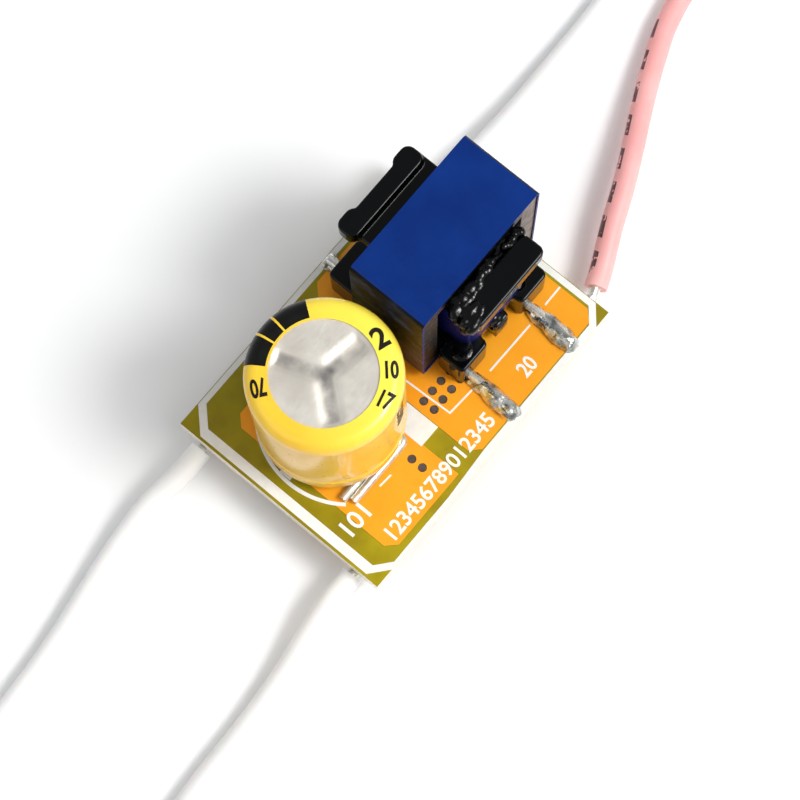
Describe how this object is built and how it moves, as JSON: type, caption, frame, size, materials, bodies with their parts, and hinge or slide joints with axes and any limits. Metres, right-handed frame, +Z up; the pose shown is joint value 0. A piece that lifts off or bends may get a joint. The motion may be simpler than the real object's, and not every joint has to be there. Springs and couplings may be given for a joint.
{
  "type": "led driver",
  "caption": "Small open circuit board that feeds an LED lamp from the mains, with an upright capacitor, a taped inductor, surface parts underneath and soldered wire leads.",
  "frame": {"origin": "middle of the board's outline, on the table under the tallest underside parts", "axes": "+X along the board from the mains leads to the output leads, +Y towards the live lead, +Z up from the board's component side"},
  "size_m": [0.1448, 0.0171, 0.0174],
  "materials": {
    "board_mask": "satin olive yellow mask on laminate",
    "copper_mask": "satin orange mask over copper foil",
    "can_metal": "brushed",
    "sleeve_film": "gloss yellow film",
    "bung_rubber": "matt",
    "tinned_wire": "tinned",
    "solder": "bright solder",
    "bobbin_black": "gloss moulding",
    "ferrite": "ground",
    "winding_copper": "enamelled wire",
    "wrap_tape": "dark blue tape",
    "blue_tape": "blue tape",
    "moulded_black": "matt moulding",
    "resistor_glaze": "black glaze",
    "capacitor_ceramic": "fired ceramic",
    "wire_white": "satin insulation",
    "wire_red": "satin insulation"
  },
  "bodies": {
    "root": {"circuit_board": "board_mask", "top_copper": "copper_mask", "bottom_copper": "copper_mask", "capacitor_can": "can_metal", "capacitor_sleeve": "sleeve_film", "capacitor_bung": "bung_rubber", "capacitor_lead_positive": "tinned_wire", "capacitor_lead_negative": "tinned_wire", "capacitor_solder": "solder", "wire_link": "tinned_wire", "inductor_bobbin": "bobbin_black", "core_lower": "ferrite", "core_upper": "ferrite", "winding": "winding_copper", "winding_tape": "wrap_tape", "core_tape": "blue_tape", "inductor_pin_1": "tinned_wire", "inductor_pin_2": "tinned_wire", "inductor_pin_3": "tinned_wire", "inductor_pin_4": "tinned_wire", "inductor_solder": "solder", "bridge_rectifier": "moulded_black", "bridge_leads": "tinned_wire", "driver_chip": "moulded_black", "driver_leads": "tinned_wire", "freewheel_diode": "moulded_black", "diode_leads": "tinned_wire", "fuse_resistor": "resistor_glaze", "start_resistor": "resistor_glaze", "sense_resistor_1": "resistor_glaze", "sense_resistor_2": "resistor_glaze", "bleeder_resistor": "resistor_glaze", "supply_capacitor": "capacitor_ceramic", "chip_terminals": "solder", "live_lead": "wire_white", "neutral_lead": "wire_white", "negative_lead": "wire_white", "positive_lead": "wire_red", "live_strands": "tinned_wire", "neutral_strands": "tinned_wire", "negative_strands": "tinned_wire", "positive_strands": "tinned_wire", "lead_solder": "solder"}
  },
  "joints": []
}
